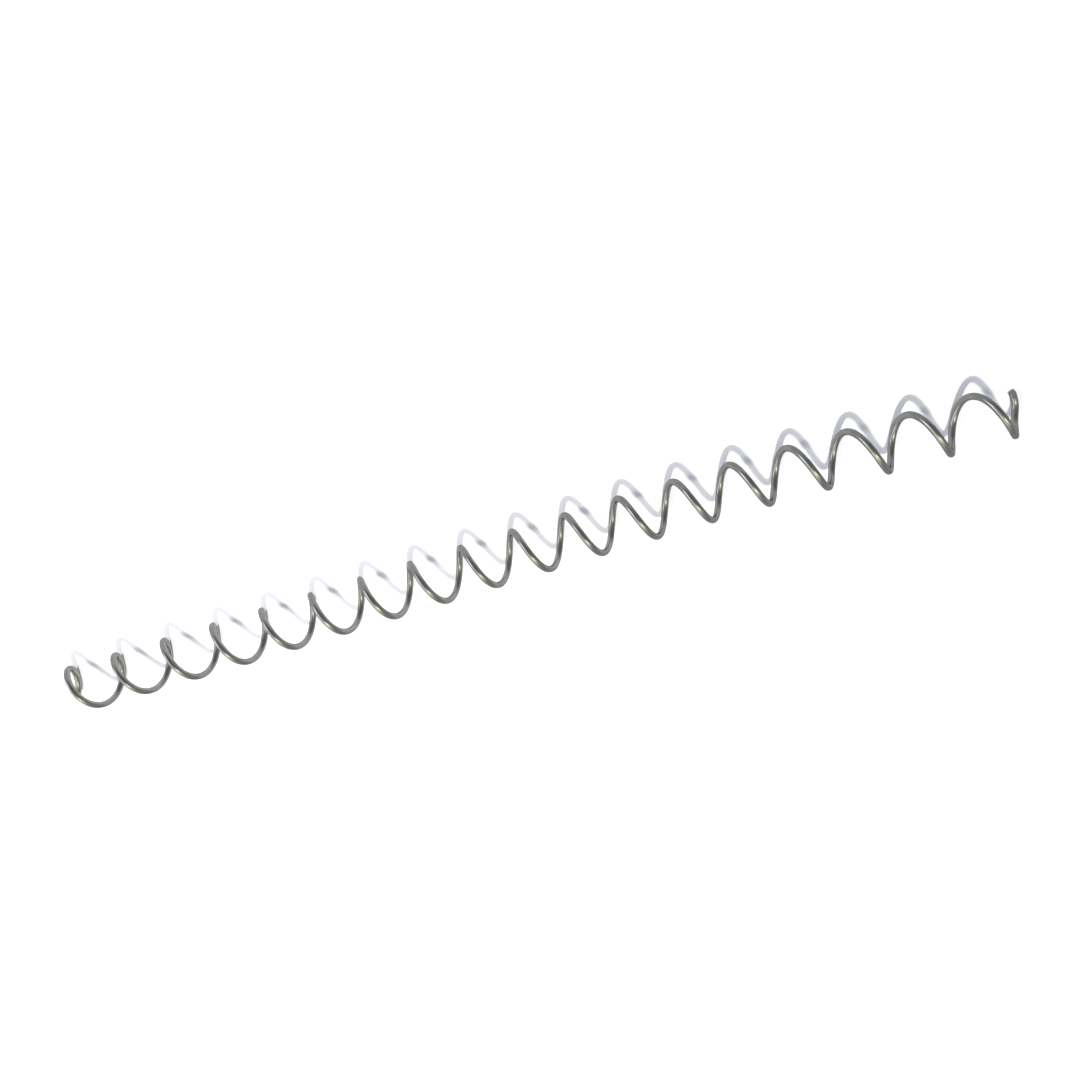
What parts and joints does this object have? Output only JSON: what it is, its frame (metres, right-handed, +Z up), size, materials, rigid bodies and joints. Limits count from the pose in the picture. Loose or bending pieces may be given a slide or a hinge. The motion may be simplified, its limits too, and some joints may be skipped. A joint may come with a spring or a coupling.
{
  "type": "helical spring",
  "caption": "Long helical spring of round bright steel wire, wound wide open, with plain cut ends, that gives along its length.",
  "frame": {"origin": "on the surface the spring lies on, under the middle of its length and width", "axes": "+X along the coil from the starting end to the finishing end, +Z up from the surface, +Y across the coil"},
  "size_m": [0.3056, 0.0174, 0.0159],
  "materials": {
    "spring_wire": "bright drawn"
  },
  "bodies": {
    "root": {"coil": "spring_wire"}
  },
  "joints": []
}
